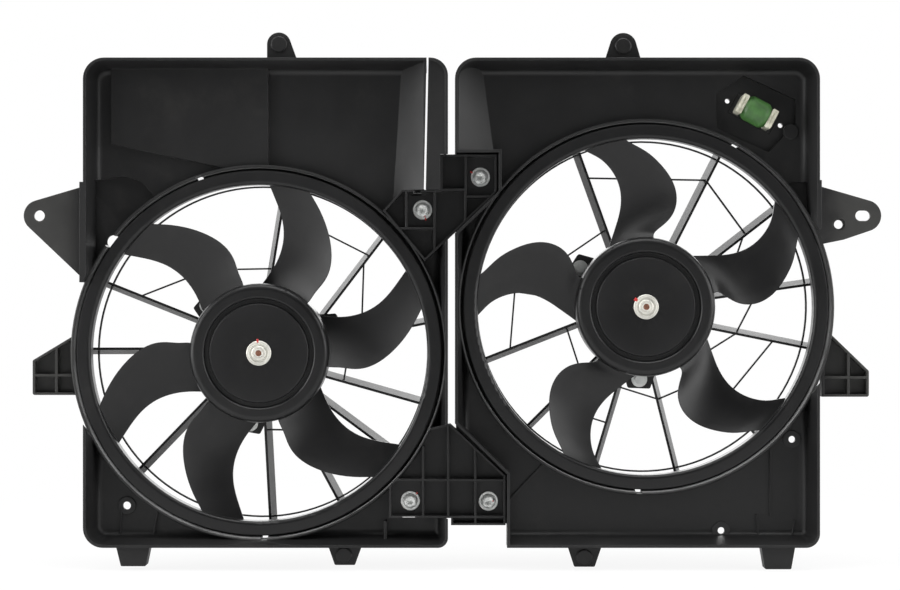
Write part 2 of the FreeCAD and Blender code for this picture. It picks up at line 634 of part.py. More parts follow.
def right_shroud():
    layout = right_layout
    centre = layout["centre"]
    notch_top = 374.5
    left = right_inner_x
    body, envelope, hollow = tray(right_outline)
    notches = [[(left - 9, notch_top), (41.5, notch_top), (41.5, 340.0), (left, 302.0), (left - 9, 302.0)],
               [(left - 9, 131.5), (left, 131.5), (right_step_x, 86.0), (right_step_x, panel_bottom - 9),
                (left - 9, panel_bottom - 9)]]
    inside = Part.makeBox(right_outer_x, overall_depth, panel_top - panel_bottom,
                          point(left, 0, panel_bottom))
    walls = []
    for corners in notches:
        room = plate(corners, 0, tray_depth + floor_t)
        wall = plate(inset(corners, -wall_t), 0, tray_depth + floor_t).cut(room)
        walls.append(wall.common(inside))
        body = body.cut(room)
    body = body.fuse(walls)
    climb = ramp(28.0, 39.0, right_inner_x + 1, right_inner_x + 1, panel_top - 6, notch_top + 2)
    behind = plate([(right_inner_x + wall_t + 6, panel_top - 14), (25, panel_top - 14),
                    (34, notch_top + 12), (right_inner_x + wall_t + 6, notch_top + 12)],
                   tray_depth - floor_round, tray_depth + floor_t)
    ear_pocket = [(right_outer_x + 1, 306), (right_outer_x + 1, 349), (305, 349, 10), (292, 334), (292, 306)]
    pocket_add, pocket_cut = sunk_pocket(ear_pocket, ear_pocket_drop)
    hexagon = [(264.6, resistor_z + 34.0, 2), (311.8, resistor_z + 12.1, 2), (311.8, resistor_z - 9.9, 2),
               (287.5, resistor_z - 35.8, 2), (240.4, resistor_z - 14.3, 2), (239.7, resistor_z + 17.0, 2)]
    hex_add, hex_cut = sunk_pocket(hexagon, pocket_drop)
    body = body.fuse([pocket_add, hex_add]).cut([behind, pocket_cut, hex_cut])
    tongues = [tongue(upper_arm, join_points[:2], left_layout["centre"]),
               tongue(lower_arm, join_points[2:], left_layout["centre"])]

    ear_wall = plate([(right_outer_x - wall_t, 306), (right_outer_x - wall_t, 349.6),
                      (right_outer_x + ear_wall_out * 0.5, 349.6), (right_outer_x + ear_wall_out * 0.5, 306)],
                     0, tray_depth)
    tip = (ear_reach - ear_tip_r, ear_hole_z)
    ear = ear_plate(tip, ear_tip_r, (right_outer_x - 1, 345.4), (352.4, 296.4), ear_front, ear_t)
    root = plate([(right_outer_x - 1, 345.4), (352.4, 335), (352.4, 296.4), (right_outer_x - 1, 291.5)],
                 ear_front, ear_front + ear_t)
    bracket = side_bracket([(376.5, 154.6, 2), (376.5, 178.0, 2), (342.5, 210.8), (334, 210.8),
                            (334, 154.6)], 358.0, 172.0)
    top_tab = ear_plate((153.9, panel_top + 11.5), 12.0, (135.7, panel_top - root_in),
                        (171.5, panel_top - root_in),
                        tab_front, tab_t)
    low_tab = plate([(101.8, panel_bottom + root_in), (136.6, panel_bottom + root_in), (128.2, 1.7, 1.5),
                     (109.7, 1.7, 1.5)], tab_front, tab_front + tab_t)
    foot = hollow_foot([(276.7, panel_bottom + root_in), (309.4, panel_bottom + root_in), (304.7, 0, 1.2),
                        (281.2, 0, 1.2)])
    rib_front = tray_depth - crease_rib_h
    creases = [bar((278, panel_bottom + 6), (276, 47), crease_rib_t, rib_front, tray_depth),
               bar((308, panel_bottom + 6), (311, 42), crease_rib_t, rib_front, tray_depth),
               bar((288.6, 46), (288.6, 118), crease_rib_t, rib_front, tray_depth),
               bar((51.5, 60.6), (84, 95), crease_rib_t, rib_front, tray_depth)]
    body = body.fuse([climb.common(envelope), ear_wall, ear, root, top_tab.cut(hollow),
                      disc_mark((153.9, panel_top + 11.5), tab_front), low_tab.cut(hollow),
                      disc_mark((118.8, 10.2), tab_front), foot.cut(hollow), boss((308.3, 115.5)),
                      boss((244.0, 32.7)), disc_mark((307.6, resistor_z - 17.3), tray_depth)]
                     + bracket + creases + tongues)

    body = body.cut(disc(centre, barrel_r + barrel_t / 2, 0, overall_depth))
    body = body.fuse([ring(centre)] + motor_support(centre, layout))
    holes = [disc((pilot_x, pilot_z), pilot_r, ear_front, ear_front + ear_t),
             disc((pilot_x, pilot_z), pilot_counterbore_r, ear_front, ear_front + pilot_counterbore_depth),
             disc((308.3, 115.5), hose_hole_r, tray_depth - boss_h, tray_depth + floor_t),
             disc((244.0, 32.7), hose_hole_r, tray_depth - boss_h, tray_depth + floor_t)]
    reach = slot_length / 2 - slot_r
    slot = bar((slot_x - reach, ear_hole_z), (slot_x + reach, ear_hole_z), 2 * slot_r, ear_front,
               ear_front + ear_t)
    ends = [disc((slot_x + side * reach, ear_hole_z), slot_r, ear_front, ear_front + ear_t)
            for side in (-1, 1)]
    window = plate(tilted_box(21, 10), tray_depth + pocket_drop, tray_depth + pocket_drop + floor_t)
    pips = [disc(c, r, tray_depth + pocket_drop, tray_depth + pocket_drop + floor_t)
            for c, r in resistor_screw_points()]
    body = body.cut(holes + [slot, window] + ends + pips + ring_notches(layout))
    return body.removeSplitter()


def tilted(u, v):
    """Point (x, z) at (u, v) in the resistor's own tilted axes."""
    a = math.radians(resistor_tilt)
    return (resistor_x + u * math.cos(a) - v * math.sin(a), resistor_z + u * math.sin(a) + v * math.cos(a))


def tilted_box(half_length, half_width, corner_r=0):
    """Corners of a rectangle about the resistor's centre, in its tilted axes."""
    sides = [(-1, -1), (1, -1), (1, 1), (-1, 1)]
    corners = [tilted(a * half_length, b * half_width) for a, b in sides]
    return [c + (corner_r,) for c in corners] if corner_r else corners


def resistor_screw_points():
    return [(tilted(-26.5, -1.5), 2.2), (tilted(26.5, 1.5), 2.2)]


# ------------------------------------------------------------------ fans
def blade_stations(layout):
    """Rows (radius, leading edge angle, trailing edge angle) from hub to band, from the blade's datum."""
    if layout["name"] == "left":
        return [(61.0, -33.0, 11.8), (72.0, -32.0, 5.2), (82.0, -31.6, 1.8), (98.0, -29.4, -0.2),
                (115.0, -23.3, 0.7), (134.0, -14.8, 4.2), (153.0, -6.0, 8.0)]
    return [(61.0, -19.0, 20.5), (72.0, -21.5, 11.0), (82.0, -26.6, 5.4), (98.0, -28.0, 0.8),
            (115.0, -24.0, 0.3), (134.0, -15.2, 3.4), (153.0, -4.4, 9.8)]


def smooth_row(rows, radius):
    """Edge angles at a radius, on a curve through the stations."""
    i = max(1, min(len(rows) - 3, sum(1 for row in rows if row[0] <= radius) - 1))
    near = rows[i - 1:i + 3]
    values = []
    for column in (1, 2):
        total = 0
        for j, row in enumerate(near):
            weight = 1
            for k, other in enumerate(near):
                if k != j:
                    weight *= (radius - other[0]) / (row[0] - other[0])
            total += weight * row[column]
        values.append(total)
    return values


def blade(layout, datum):
    """Pitched blade: a smooth sheet through its edge curves, given its wall along the axis."""
    rows = blade_stations(layout)
    root_r = hub_r - blade_root_in
    tip_r = band_inner_r + band_t / 2
    root_rise = hub_depth - blade_t - blade_lead - 2.0
    tip_rise = band_front - hub_front + band_depth - blade_t - blade_lead - 1.0
    span_steps = 8
    chord_steps = 4
    grid = []
    for i in range(span_steps + 1):
        out = i / span_steps
        radius = root_r + (tip_r - root_r) * out
        lead, trail = smooth_row(rows, radius)
        rise = root_rise + (tip_rise - root_rise) * out
        row = []
        for step in range(chord_steps + 1):
            share = step / chord_steps
            depth = hub_front + blade_lead + rise * (share + blade_camber * share * (1 - share))
            x, z = polar(layout["centre"], radius, datum + lead + (trail - lead) * share)
            row.append(point(x, depth, z))
        grid.append(row)
    surface = Part.BSplineSurface()
    surface.interpolate(grid)
    return surface.toShape().extrude(back * blade_t)


def hub(layout):
    centre = layout["centre"]
    inner = hub_r - hub_t
    floor = hub_front + hub_t
    groove_floor = hub_front + groove_depth
    profile = [(shaft_r, hub_front + 1.4), (groove_inner_r, hub_front + 0.8, -0.6),
               (groove_inner_r + 0.6, groove_floor), (groove_outer_r - 0.9, groove_floor),
               (groove_outer_r, hub_front, -0.8), (hub_r, hub_front, hub_edge_r),
               (hub_r, hub_front + hub_depth), (inner, hub_front + hub_depth),
               (inner, floor, hub_edge_r - hub_t), (groove_outer_r + 2, floor),
               (groove_outer_r + 1, groove_floor + hub_t), (groove_inner_r - 1.4, groove_floor + hub_t),
               (groove_inner_r - 2, floor + 0.8), (fan_boss_r, floor + 0.8),
               (fan_boss_r, floor + 4.0), (shaft_r, floor + 4.0)]
    groove = tube(centre, groove_outer_r + hub_t / 4, groove_inner_r - hub_t / 4, hub_front,
                  groove_floor + hub_t / 2)
    ribs = []
    for i in range(hub_rib_count):
        angle = datum_of(layout) + 360 * i / hub_rib_count
        ribs.append(bar(polar(centre, fan_boss_r - 1, angle), polar(centre, inner + hub_t / 2, angle),
                        hub_rib_t, floor - hub_t / 2, floor + groove_depth).cut(groove))
    return turned(centre, profile), ribs


def datum_of(layout):
    return layout["blades"][0]


def band(layout):
    outer = barrel_r - band_gap
    rear = band_front + band_depth
    profile = [(band_inner_r, rear), (band_inner_r, band_front, band_edge_r), (outer, band_front, -0.8),
               (outer, band_front + 5), (outer - band_t, band_front + 5),
               (outer - band_t, band_front + band_t), (band_inner_r + band_t, band_front + band_t, -1.2),
               (band_inner_r + band_t, rear)]
    return turned(layout["centre"], profile)


def fan(layout):
    cup, ribs = hub(layout)
    blades = [blade(layout, datum) for datum in layout["blades"]]
    whole = cup.fuse(ribs + [band(layout)] + blades)
    return whole.removeSplitter()


# ------------------------------------------------------------------ motor
def motor_housing(layout):
    centre = layout["centre"]
    inner = can_r - can_t
    boss_front = can_front - front_boss_length
    seat_rear = boss_front + can_t + bearing_length
    profile = [(shaft_r + 1.0, boss_front), (front_boss_r, boss_front, -1.2), (front_boss_r, can_front),
               (can_r, can_front, can_edge_r), (can_r, can_rear), (inner, can_rear),
               (inner, can_front + can_t, -can_t), (bearing_r + can_t, can_front + can_t),
               (bearing_r + can_t, seat_rear), (bearing_r, seat_rear), (bearing_r, boss_front + can_t),
               (shaft_r + 1.0, boss_front + can_t)]
    can = turned(centre, profile)
    ears = []
    holes = []
    front = strut_front + seat_t
    for angle in layout["screws"]:
        ears.append(ear_strip(centre, angle, 0, front, front + ear_plate_t).cut(
            disc(centre, can_r - can_t / 2, 0, overall_depth)))
        holes.append(disc(polar(centre, motor_screw_circle_r, angle), motor_screw_r + running_clearance,
                          front, front + ear_plate_t))
    return can.fuse(ears).cut(holes).removeSplitter()


def motor_end_cap(layout):
    """Rear cap with the bearing seat and the connector socket."""
    centre = layout["centre"]
    seat_front = overall_depth - 2.0 - bearing_length
    cap_rear = can_rear + end_cap_t
    profile = [(bearing_r, can_rear + 1), (bearing_r, overall_depth - 2.0), (0, overall_depth - 2.0),
               (0, overall_depth), (rear_boss_r, overall_depth, -1.2), (rear_boss_r, cap_rear),
               (can_r, cap_rear, -1.5), (can_r, can_rear), (can_r - can_t, can_rear),
               (can_r - can_t, can_rear + 2), (bearing_r + 3, can_rear + 2), (bearing_r + 3, can_rear + 1)]
    cap = turned(centre, profile)
    half = socket_width / 2
    low = -can_r - 14
    x, z = centre
    outer = [(x - half, z + low, 2), (x + half, z + low, 2), (x + half, z - can_r + 12, 2),
             (x - half, z - can_r + 12, 2)]
    front = cap_rear - 2.0
    top = min(front + socket_height, overall_depth - 1)
    socket = plate(outer, front, top)
    cavity = Part.makeBox(socket_width - 2 * socket_wall, top - front - 2 * socket_wall, 12,
                          point(x - half + socket_wall, front + socket_wall, z + low))
    return cap.fuse(socket).cut(cavity).removeSplitter()


def bearing(layout, front):
    centre = layout["centre"]
    bore = shaft_r + running_clearance
    return turned(centre, [(bore, front), (bearing_r, front, -0.5), (bearing_r, front + bearing_length, -0.5),
                           (bore, front + bearing_length)])


def front_bearing(layout):
    return bearing(layout, can_front - front_boss_length + can_t)


def rear_bearing(layout):
    return bearing(layout, overall_depth - 2.0 - bearing_length)


def shaft(layout):
    centre = layout["centre"]
    tip = -0.8
    return turned(centre, [(0, shaft_front), (shaft_r, shaft_front, tip), (shaft_r, overall_depth - 3.0, tip),
                           (0, overall_depth - 3.0)])


def magnets(layout):
    centre = layout["centre"]
    outer = can_r - can_t
    gap_angle = 14.0
    arc = 360 / magnet_count - gap_angle
    whole = tube(centre, outer, outer - magnet_t, magnet_front, magnet_front + magnet_length)
    pieces = []
    for i in range(magnet_count):
        start = 45 + 360 * i / magnet_count - arc / 2
        pieces.append(whole.common(sector(centre, 2 * outer, start, start + arc, magnet_front,
                                          magnet_front + magnet_length)))
    return Part.makeCompound(pieces)


def core_r():
    return can_r - can_t - magnet_t - air_gap


def armature_core(layout):
    """Slotted lamination stack."""
    centre = layout["centre"]
    rear = core_front + core_length
    body = tube(centre, core_r(), shaft_r, core_front, rear)
    slots = []
    for i in range(slot_count):
        angle = 360 * i / slot_count
        slots.append(bar(polar(centre, core_r() * 0.55, angle), polar(centre, core_r() + 1, angle),
                         2.6, core_front, rear))
    return body.cut(slots)


def windings(layout):
    """The wound coil ends either side of the stack."""
    centre = layout["centre"]
    outer = core_r() - 2.0
    inner = shaft_r + 4.0
    ends = []
    for front in (core_front - winding_overhang, core_front + core_length):
        ends.append(turned(centre, [(inner, front, -1.5), (outer, front, -2.0),
                                    (outer, front + winding_overhang, -2.0),
                                    (inner, front + winding_overhang, -1.5)]))
    return Part.makeCompound(ends)


def commutator(layout):
    rear = commutator_front + commutator_length
    return tube(layout["centre"], commutator_r, shaft_r, commutator_front, rear)


def brush_depth():
    return commutator_front + commutator_length / 2 + 1


def brush_holder(layout):
    """Ring plate inside the can's open end, with two brush boxes."""
    centre = layout["centre"]
    front = brush_depth() + brush_width / 2
    base = tube(centre, can_r - can_t, commutator_r + 3, front, front + brush_plate_t)
    boxes = []
    for side in (0, 180):
        start = polar(centre, commutator_r + 4, side)
        end = polar(centre, commutator_r + 18, side)
        box = bar(start, end, brush_width + 3, front - brush_width, front + 0.5)
        bore = bar(polar(centre, commutator_r, side), polar(centre, commutator_r + 16, side), brush_width,
                   front - brush_width, front - 0.2)
        boxes.append(box.cut(bore))
    return joined([base] + boxes)


def brushes(layout):
    centre = layout["centre"]
    front = brush_depth() - brush_width / 2
    pieces = [bar(polar(centre, commutator_r + 0.3, side), polar(centre, commutator_r + 14, side),
                  brush_width - 0.2, front + 0.1, front + brush_width - 0.3) for side in (0, 180)]
    return Part.makeCompound(pieces)


def fan_clip(layout):
    """Pressed retaining washer on the shaft against the fan's face."""
    centre = layout["centre"]
    face = hub_front + clip_seat
    return turned(centre, [(shaft_r, shaft_front + 1.2), (5.6, shaft_front + 1.2, -0.5), (6.2, face - 1.6),
                           (9.6, face - 1.6), (10.2, face - 2.4), (11.2, face - 2.4, -0.4), (11.2, face),
                           (shaft_r, face)])


def hex_prism(centre, radius, front, rear):
    return plate([polar(centre, radius, 60 * i) for i in range(6)], front, rear)


def motor_screws(layout):
    screws = []
    for angle in layout["screws"]:
        c = polar(layout["centre"], motor_screw_circle_r, angle)
        washer_front = strut_front - washer_t
        pieces = [disc(c, motor_washer_r, washer_front, strut_front),
                  hex_prism(c, motor_head_r, washer_front - motor_head_h, washer_front),
                  disc(c, motor_screw_r, washer_front, strut_front + seat_t + ear_plate_t + 6)]
        screws.append(joined(pieces))
    return Part.makeCompound(screws)


# ------------------------------------------------------------------ joint fasteners
def join_screws():
    screws = []
    for c in join_points:
        washer_front = arm_plate_front - washer_t
        rear = arm_plate_front + arm_plate_t + tongue_t + nut_h + 5
        pieces = [disc(c, join_washer_r, washer_front, arm_plate_front),
                  hex_prism(c, join_head_r, washer_front - join_head_h, washer_front),
                  disc(c, join_screw_r, washer_front, rear)]
        screws.append(joined(pieces))
    return Part.makeCompound(screws)


def join_nuts():
    nuts = []
    front = arm_plate_front + arm_plate_t + tongue_t
    for c in join_points:
        flange = disc(c, join_washer_r - 0.6, front, front + 1.2)
        body = hex_prism(c, nut_r, front + 1.2, front + nut_h)
        nuts.append(joined([flange, body]).cut(disc(c, join_screw_r, front, front + nut_h)))
    return Part.makeCompound(nuts)


# ------------------------------------------------------------------ resistor
def along_resistor():
    a = math.radians(resistor_tilt)
    return Vector(math.cos(a), 0, math.sin(a))


def resistor_core():
    """Barrel-shaped ceramic body."""
    half = resistor_length / 2
    axis = along_resistor()
    across = Vector(-axis.z, 0, axis.x)
    middle = point(resistor_x, resistor_depth - 4, resistor_z)

    def place(u, v):
        return middle + axis * u + across * v
    wire = rounded_wire([(-half, 0), (-half, resistor_r - 3.0), (-half + 4, resistor_r, 4),
                         (half - 4, resistor_r, 4), (half, resistor_r - 3.0), (half, 0)], place)
    return Part.Face(wire).revolve(middle, axis, 360)


def resistor_clips():
    """Metal end clips that grip the barrel and stand on the base."""
    half = resistor_length / 2
    width = resistor_clip_w / 2
    floor = tray_depth + pocket_drop
    pieces = []
    for side in (-1, 1):
        start = side * half
        end = side * (half + resistor_clip_t)
        corners = [tilted(start, -width) + (1.0,), tilted(end, -width) + (1.5,), tilted(end, width) + (1.5,),
                   tilted(start, width) + (1.0,)]
        pieces.append(plate(corners, resistor_depth - 4 - width, floor))
    return Part.makeCompound(pieces)


def resistor_base():
    """Moulded base behind the pocket: flange, plug through the window and rear socket."""
    floor = tray_depth + pocket_drop
    rear = floor + floor_t
    flange = plate(tilted_box(31, 15, 4), rear, rear + 3)
    plug = plate(tilted_box(20.6, 9.6), floor, rear)
    shell = plate(tilted_box(13, 8, 2), rear + 3, rear + 19)
    cavity = plate(tilted_box(11.2, 6.2), rear + 5, rear + 19)
    body = joined([flange, plug, shell]).cut(cavity)
    return body.cut([disc(c, r, rear, rear + 3) for c, r in resistor_screw_points()])


def resistor_terminals():
    rear = tray_depth + pocket_drop + floor_t
    pins = [bar(tilted(u - 1.4, 0), tilted(u + 1.4, 0), 0.8, rear + 5, rear + 15) for u in (-6, 6)]
    return Part.makeCompound(pins)


# ------------------------------------------------------------------ build
def save(name, shape):
    shape.exportStep("parts/" + name + ".step")


def main():
    os.makedirs("parts", exist_ok=True)
    save("left_shroud", left_shroud())
    save("right_shroud", right_shroud())
    save("join_screws", join_screws())
    save("join_nuts", join_nuts())
    makers = [fan, shaft, fan_clip, armature_core, windings, commutator, motor_housing, motor_end_cap,
              front_bearing, rear_bearing, magnets, brush_holder, brushes, motor_screws]
    for layout in (left_layout, right_layout):
        for make in makers:
            save(layout["name"] + "_" + make.__name__, make(layout))
    for make in (resistor_base, resistor_core, resistor_clips, resistor_terminals):
        save(make.__name__, make())


main()
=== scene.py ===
import math

import bmesh
import bpy
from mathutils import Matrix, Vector


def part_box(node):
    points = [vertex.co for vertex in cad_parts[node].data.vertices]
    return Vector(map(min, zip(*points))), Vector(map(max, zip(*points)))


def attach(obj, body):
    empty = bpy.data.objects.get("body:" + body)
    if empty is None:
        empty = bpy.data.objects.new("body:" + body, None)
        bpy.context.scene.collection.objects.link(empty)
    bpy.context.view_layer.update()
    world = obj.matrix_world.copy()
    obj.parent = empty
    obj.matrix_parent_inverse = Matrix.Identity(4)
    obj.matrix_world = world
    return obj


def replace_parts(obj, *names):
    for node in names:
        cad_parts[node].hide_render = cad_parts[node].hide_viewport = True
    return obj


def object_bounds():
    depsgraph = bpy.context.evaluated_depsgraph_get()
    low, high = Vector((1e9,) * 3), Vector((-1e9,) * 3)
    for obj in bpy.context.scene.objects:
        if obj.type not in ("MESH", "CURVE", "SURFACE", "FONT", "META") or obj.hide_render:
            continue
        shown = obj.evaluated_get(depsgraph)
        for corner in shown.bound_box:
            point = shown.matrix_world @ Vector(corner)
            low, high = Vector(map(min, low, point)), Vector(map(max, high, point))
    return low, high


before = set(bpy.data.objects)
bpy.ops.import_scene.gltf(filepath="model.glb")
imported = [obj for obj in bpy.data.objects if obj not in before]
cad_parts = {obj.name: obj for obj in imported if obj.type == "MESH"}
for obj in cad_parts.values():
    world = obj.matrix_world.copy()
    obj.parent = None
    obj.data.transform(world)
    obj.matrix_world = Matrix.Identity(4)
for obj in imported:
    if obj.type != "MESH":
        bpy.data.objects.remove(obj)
cad_box = [list(v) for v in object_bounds()]

MM = 1000                                       # millimetres in a metre
cad_low, cad_high = (Vector(corner) for corner in cad_box)
cad_middle = (cad_low + cad_high) / 2
front_y = cad_low.y                             # the object's foremost face, in metres


# ------------------------------------------------------------------ shader nodes
def feed(tree, value, socket):
    """Gives a socket a plain number, or the output of another node."""
    if isinstance(value, (int, float)):
        socket.default_value = value
    else:
        tree.links.new(value, socket)


def ramp(tree, source, stops):
    """A colour ramp: each stop is (place, colour) or (place, grey)."""
    n = tree.nodes.new("ShaderNodeValToRGB")
    tree.links.new(source, n.inputs["Fac"])
    while len(n.color_ramp.elements) < len(stops):
        n.color_ramp.elements.new(0.5)
    for element, (place, value) in zip(n.color_ramp.elements, stops):
        element.position = place
        element.color = ((value,) * 3 if isinstance(value, (int, float)) else tuple(value)) + (1,)
    return n.outputs["Color"]


def noise(tree, coords, scale, detail=2.0, rough=0.5):
    """Cloudy noise, about 0.5 on average."""
    n = tree.nodes.new("ShaderNodeTexNoise")
    n.inputs["Scale"].default_value = scale
    n.inputs["Detail"].default_value = detail
    n.inputs["Roughness"].default_value = rough
    tree.links.new(coords, n.inputs["Vector"])
    return n.outputs["Fac"]


def math_node(tree, operation, a, b):
    """One sum on two values, each a number or a node's output."""
    n = tree.nodes.new("ShaderNodeMath")
    n.operation = operation
    feed(tree, a, n.inputs[0])
    feed(tree, b, n.inputs[1])
    return n.outputs[0]


def times(tree, a, b):
    return math_node(tree, "MULTIPLY", a, b)


def plus(tree, a, b):
    return math_node(tree, "ADD", a, b)


def overlay(tree, under, cover, share):
    """The colour under, hidden by one flat colour where share is high."""
    n = tree.nodes.new("ShaderNodeMix")
    n.data_type = "RGBA"
    tree.links.new(share, n.inputs["Factor"])
    tree.links.new(under, n.inputs["A"])
    n.inputs["B"].default_value = tuple(cover) + (1,)
    return n.outputs["Result"]


def choose(tree, test, value_if_not, value_if_so):
    """One of two values, by a test that gives 0 or 1."""
    n = tree.nodes.new("ShaderNodeMix")
    tree.links.new(test, n.inputs["Factor"])
    feed(tree, value_if_not, n.inputs["A"])
    feed(tree, value_if_so, n.inputs["B"])
    return n.outputs["Result"]


def bump(tree, height, strength, distance, after=None):
    """A bumpy normal, laid over another one where after is given."""
    n = tree.nodes.new("ShaderNodeBump")
    n.inputs["Strength"].default_value = strength
    n.inputs["Distance"].default_value = distance
    tree.links.new(height, n.inputs["Height"])
    if after:
        tree.links.new(after, n.inputs["Normal"])
    return n.outputs["Normal"]


# ------------------------------------------------------------------ kinds of material
# Bumps are (strength, depth in metres).
ripple, grain, scratches = (0.10, 0.002), (0.35, 0.00012), (0.25, 0.00006)
edge_highlight_share, edge_highlight_gain = 0.35, 2.4               # painted edge highlight: how far edges lighten, and to what brightness
dust_colour = (0.17, 0.165, 0.15)
# the pale tone laid in patches over the outer lugs
lug_pale_colour = (0.17, 0.168, 0.155)
lug_root, lug_face = 0.336, 0.350               # metres out: the side lugs' root, and their paler part
moulding_gloss = 0.36
moulding_edge_radius, edge_samples = 0.0009, 4
rust_fineness = 3.1                             # rust spots are this much finer than the metal's clouds
grain_strength = 0.5                            # of plain materials


def material(name):
    """A new material, with its node tree, its shader and the object's coordinates."""
    m = bpy.data.materials.new(name)
    m.use_nodes = True
    tree = m.node_tree
    coords = tree.nodes.new("ShaderNodeTexCoord").outputs["Object"]
    return m, tree, tree.nodes["Principled BSDF"], coords


def painted_edge_highlights(tree, colour, light):
    """Paints a highlight on a moulding by lightening it along its outer edges."""
    geometry = tree.nodes.new("ShaderNodeNewGeometry")
    edge = ramp(tree, geometry.outputs["Pointiness"], [(0.505, 0), (0.56, 1)])
    return overlay(tree, colour, (v * edge_highlight_gain for v in light), times(tree, edge, edge_highlight_share))


def dust_film(tree, coords, colour, amount):
    """A patchy film of dust everywhere."""
    patches = ramp(tree, noise(tree, coords, 22.0, 6.0, 0.65), [(0.56, 0), (0.76, 1)])
    return overlay(tree, colour, dust_colour, times(tree, patches, amount))


def lightened_lugs(tree, coords, colour, amount):
    """Paler patches on the lugs that stand out to the left and right."""
    split = tree.nodes.new("ShaderNodeSeparateXYZ")
    tree.links.new(coords, split.inputs[0])
    sideways = math_node(tree, "ABSOLUTE", split.outputs["X"], 0.0)
    lug = ramp(tree, sideways, [(lug_root, 0), (lug_face, 1)])
    patches = ramp(tree, noise(tree, coords, 30.0, 5.0, 0.6), [(0.30, 0.55), (0.66, 1)])
    return overlay(tree, colour, lug_pale_colour, times(tree, times(tree, lug, patches), amount))


def moulded(name, dark, light, rough=(0.40, 0.52), dust=0.0, lug_lightening=0.0):
    """Moulded black polypropylene: fine grain, faint flow mottling, a painted highlight along its edges,
    a little dust, and paler outer lugs where asked.
    """
    m, tree, shader, coords = material(name)
    cloud = noise(tree, coords, 9.0, 5.0, 0.6)
    fine = noise(tree, coords, 160.0, 3.0, 0.6)
    mottling = plus(tree, times(tree, cloud, 0.75), times(tree, fine, 0.25))
    # The mottled colour gets a painted highlight along the outer edges.
    colour = painted_edge_highlights(tree, ramp(tree, mottling, [(0.36, dark), (0.66, light)]), light)
    if dust:
        colour = dust_film(tree, coords, colour, dust)
    if lug_lightening:
        colour = lightened_lugs(tree, coords, colour, lug_lightening)
    tree.links.new(colour, shader.inputs["Base Color"])
    tree.links.new(ramp(tree, cloud, [(0.35, rough[0]), (0.68, rough[1])]), shader.inputs["Roughness"])
    shader.inputs["Specular IOR Level"].default_value = moulding_gloss

    soft_edge = tree.nodes.new("ShaderNodeBevel")
    soft_edge.samples = edge_samples
    soft_edge.inputs["Radius"].default_value = moulding_edge_radius
    rippled = bump(tree, noise(tree, coords, 26.0, 2.0, 0.5), *ripple, soft_edge.outputs["Normal"])
    grained = bump(tree, noise(tree, coords, 900.0, 2.0, 0.7), *grain, rippled)
    tree.links.new(grained, shader.inputs["Normal"])
    return m


def metal(name, dark, light, rough=(0.24, 0.42), scale=60.0, metallic=1.0, rust=None):
    """Plated or bare metal with a cloudy tone and fine scratches; rust is (colour, share)."""
    m, tree, shader, coords = material(name)
    cloud = noise(tree, coords, scale, 5.0, 0.62)
    colour = ramp(tree, cloud, [(0.34, dark), (0.66, light)])
    if rust:
        rust_colour, rust_share = rust
        bloom = ramp(tree, noise(tree, coords, scale * rust_fineness, 6.0, 0.7), [(0.52, 0), (0.66, 1)])
        colour = overlay(tree, colour, rust_colour, times(tree, bloom, rust_share))
    tree.links.new(colour, shader.inputs["Base Color"])
    shader.inputs["Metallic"].default_value = metallic
    tree.links.new(ramp(tree, cloud, [(0.3, rough[0]), (0.7, rough[1])]), shader.inputs["Roughness"])
    scratched = bump(tree, noise(tree, coords, 1400.0, 2.0, 0.6), *scratches)
    tree.links.new(scratched, shader.inputs["Normal"])
    return m


def plain(name, dark, light, scale, rough, grain_scale, grain_depth, coat=0.0):
    """Paint, plastic, cement or ceramic with a cloudy tone and an even grain."""
    m, tree, shader, coords = material(name)
    cloud = noise(tree, coords, scale, 4.0, 0.6)
    tree.links.new(ramp(tree, cloud, [(0.34, dark), (0.68, light)]), shader.inputs["Base Color"])
    tree.links.new(ramp(tree, cloud, [(0.3, rough[0]), (0.7, rough[1])]), shader.inputs["Roughness"])
    shader.inputs["Coat Weight"].default_value = coat
    grained = bump(tree, noise(tree, coords, grain_scale, 4.0, 0.6), grain_strength, grain_depth)
    tree.links.new(grained, shader.inputs["Normal"])
    return m


# ------------------------------------------------------------------ the materials of this object
shroud_black = moulded("shroud_black", (0.0070, 0.0070, 0.0072), (0.0112, 0.0112, 0.0114),
                       dust=0.05, lug_lightening=0.16)
fan_black = moulded("fan_black", (0.0045, 0.0045, 0.0048), (0.0075, 0.0075, 0.0078),
                    rough=(0.30, 0.42), dust=0.03)

zinc = metal("zinc", (0.58, 0.60, 0.59), (0.84, 0.85, 0.83), rough=(0.34, 0.50), metallic=0.7)
clip_steel = metal("clip_steel", (0.62, 0.61, 0.56), (0.84, 0.83, 0.76), rough=(0.36, 0.52),
                   metallic=0.45)
shaft_steel = metal("shaft_steel", (0.20, 0.10, 0.07), (0.42, 0.22, 0.15), rough=(0.35, 0.6),
                    scale=300.0, rust=((0.24, 0.055, 0.03), 0.9))
bearing_steel = metal("bearing_steel", (0.45, 0.45, 0.45), (0.65, 0.65, 0.64))
lamination = metal("lamination", (0.18, 0.18, 0.19), (0.32, 0.32, 0.33), rough=(0.4, 0.6))
copper = metal("copper", (0.52, 0.20, 0.09), (0.78, 0.36, 0.18), rough=(0.25, 0.4), scale=120.0)

